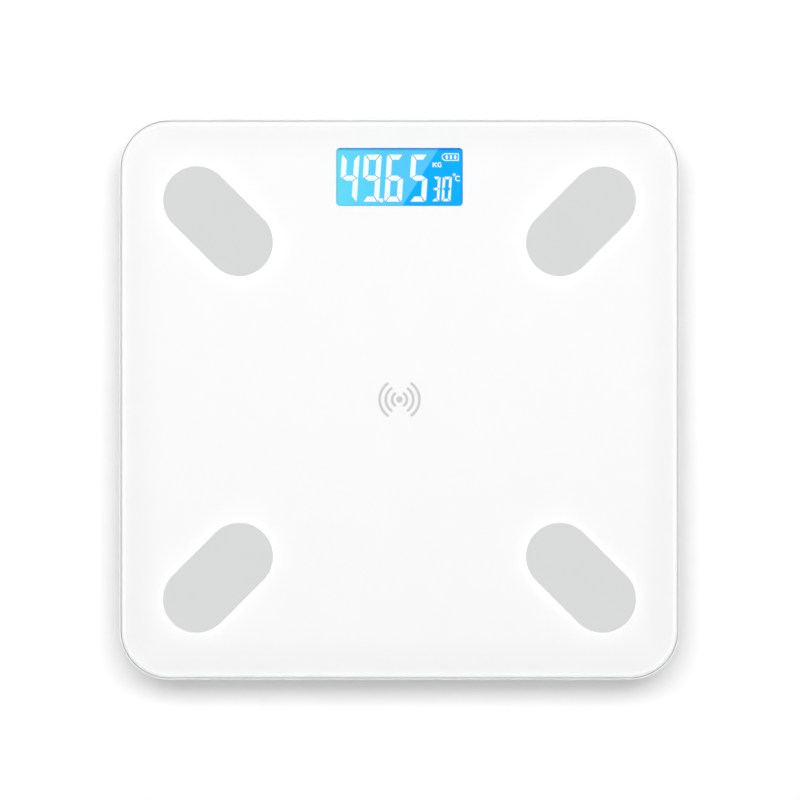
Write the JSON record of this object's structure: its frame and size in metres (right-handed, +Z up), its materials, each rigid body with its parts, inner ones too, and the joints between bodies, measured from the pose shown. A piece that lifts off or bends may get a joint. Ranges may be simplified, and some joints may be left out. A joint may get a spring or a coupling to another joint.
{
  "type": "digital bathroom scale",
  "caption": "Square white glass bathroom scale with rounded corners, slanted slot-shaped foot electrodes and a blue backlit display.",
  "frame": {"origin": "on the floor, under the middle of the scale", "axes": "+Z up, +Y towards the edge with the display, +X to the right when reading the display"},
  "size_m": [0.26, 0.26, 0.0243],
  "materials": {
    "tempered_glass": "polished",
    "white_ink": "printed",
    "grey_ink": "printed",
    "foam_tape": "closed-cell foam",
    "white_housing": "fine moulded texture",
    "satin_steel": "satin",
    "display_glass": "polished",
    "polariser_film": "film",
    "clear_acrylic": "polished",
    "white_film": "film",
    "lamp_resin": "moulded",
    "black_rubber": "moulded",
    "white_nylon": "moulded",
    "black_foam": "open-cell foam",
    "circuit_board": "solder mask",
    "zinc_steel": "zinc plated",
    "black_resin": "cured drop",
    "radio_board": "solder mask",
    "tinned_steel": "tinned",
    "capacitor_can": "printed sleeve",
    "chip_ceramic": "fired",
    "black_plastic": "moulded",
    "grey_plastic": "moulded",
    "nickel_steel": "nickel plated",
    "white_sealant": "cured",
    "phosphor_bronze": "rolled",
    "load_cell_steel": "stamped",
    "white_foot": "moulded",
    "grey_rubber": "moulded",
    "cell_jacket": "printed film",
    "red_sleeve": "extruded",
    "white_sleeve": "extruded",
    "black_sleeve": "extruded",
    "blue_sleeve": "extruded"
  },
  "bodies": {
    "base": {"backlight_lamps": "lamp_resin", "base_housing": "white_housing", "battery_cell_1": "cell_jacket", "battery_cell_2": "cell_jacket", "battery_socket": "white_nylon", "black_wires": "black_sleeve", "capacitors": "capacitor_can", "chip_parts": "chip_ceramic", "contact_springs": "nickel_steel", "controller_blob": "black_resin", "electrode_back_left": "satin_steel", "electrode_back_right": "satin_steel", "electrode_front_left": "satin_steel", "electrode_front_right": "satin_steel", "electrode_springs": "phosphor_bronze", "electrode_wires": "blue_sleeve", "gauge_seals": "white_sealant", "glass_platform": "tempered_glass", "glass_tape": "foam_tape", "lcd_holder": "white_nylon", "lcd_panel": "display_glass", "lcd_polariser": "polariser_film", "light_diffuser": "white_film", "light_guide": "clear_acrylic", "light_reflector": "white_film", "link_contact": "nickel_steel", "load_cell_back_left": "load_cell_steel", "load_cell_back_right": "load_cell_steel", "load_cell_front_left": "load_cell_steel", "load_cell_front_right": "load_cell_steel", "load_cell_retainers": "grey_plastic", "main_pcb": "circuit_board", "pcb_screws": "zinc_steel", "radio_can": "tinned_steel", "radio_mark": "grey_ink", "radio_module": "radio_board", "red_wires": "red_sleeve", "retainer_screws": "zinc_steel", "sensor_sockets": "white_nylon", "tact_switch": "black_plastic", "terminal_contacts": "nickel_steel", "timing_crystal": "tinned_steel", "white_print": "white_ink", "white_wires": "white_sleeve", "window_gasket": "black_foam", "zebra_strips": "black_rubber"},
    "battery_cover": {"battery_cover": "white_housing", "battery_cover_latch": "white_housing", "cell_foam": "black_foam"},
    "unit_button": {"unit_button": "grey_plastic", "tact_plunger": "black_plastic"},
    "foot_front_left": {"foot_cup_front_left": "white_foot", "foot_pad_front_left": "grey_rubber"},
    "foot_front_right": {"foot_cup_front_right": "white_foot", "foot_pad_front_right": "grey_rubber"},
    "foot_back_left": {"foot_cup_back_left": "white_foot", "foot_pad_back_left": "grey_rubber"},
    "foot_back_right": {"foot_cup_back_right": "white_foot", "foot_pad_back_right": "grey_rubber"}
  },
  "joints": [
    {"name": "battery_cover_hinge", "type": "hinge", "parent": "base", "child": "battery_cover", "pos_m": [0, 0.0048, 0.0046], "axis": [-1, 0, 0], "range_deg": [0, 70], "deforming": ["battery_cover_latch"]},
    {"name": "unit_button_press", "type": "slide", "parent": "base", "child": "unit_button", "axis": [0, 0, 1], "range_m": [0, 0.0006], "stiffness_N_per_m": 800, "springref_m": -0.0005},
    {"name": "foot_front_left_drop", "type": "slide", "parent": "base", "child": "foot_front_left", "axis": [0, 0, -1], "range_m": [0, 0.0005]},
    {"name": "foot_front_right_drop", "type": "slide", "parent": "base", "child": "foot_front_right", "axis": [0, 0, -1], "range_m": [0, 0.0005]},
    {"name": "foot_back_left_drop", "type": "slide", "parent": "base", "child": "foot_back_left", "axis": [0, 0, -1], "range_m": [0, 0.0005]},
    {"name": "foot_back_right_drop", "type": "slide", "parent": "base", "child": "foot_back_right", "axis": [0, 0, -1], "range_m": [0, 0.0005]}
  ]
}
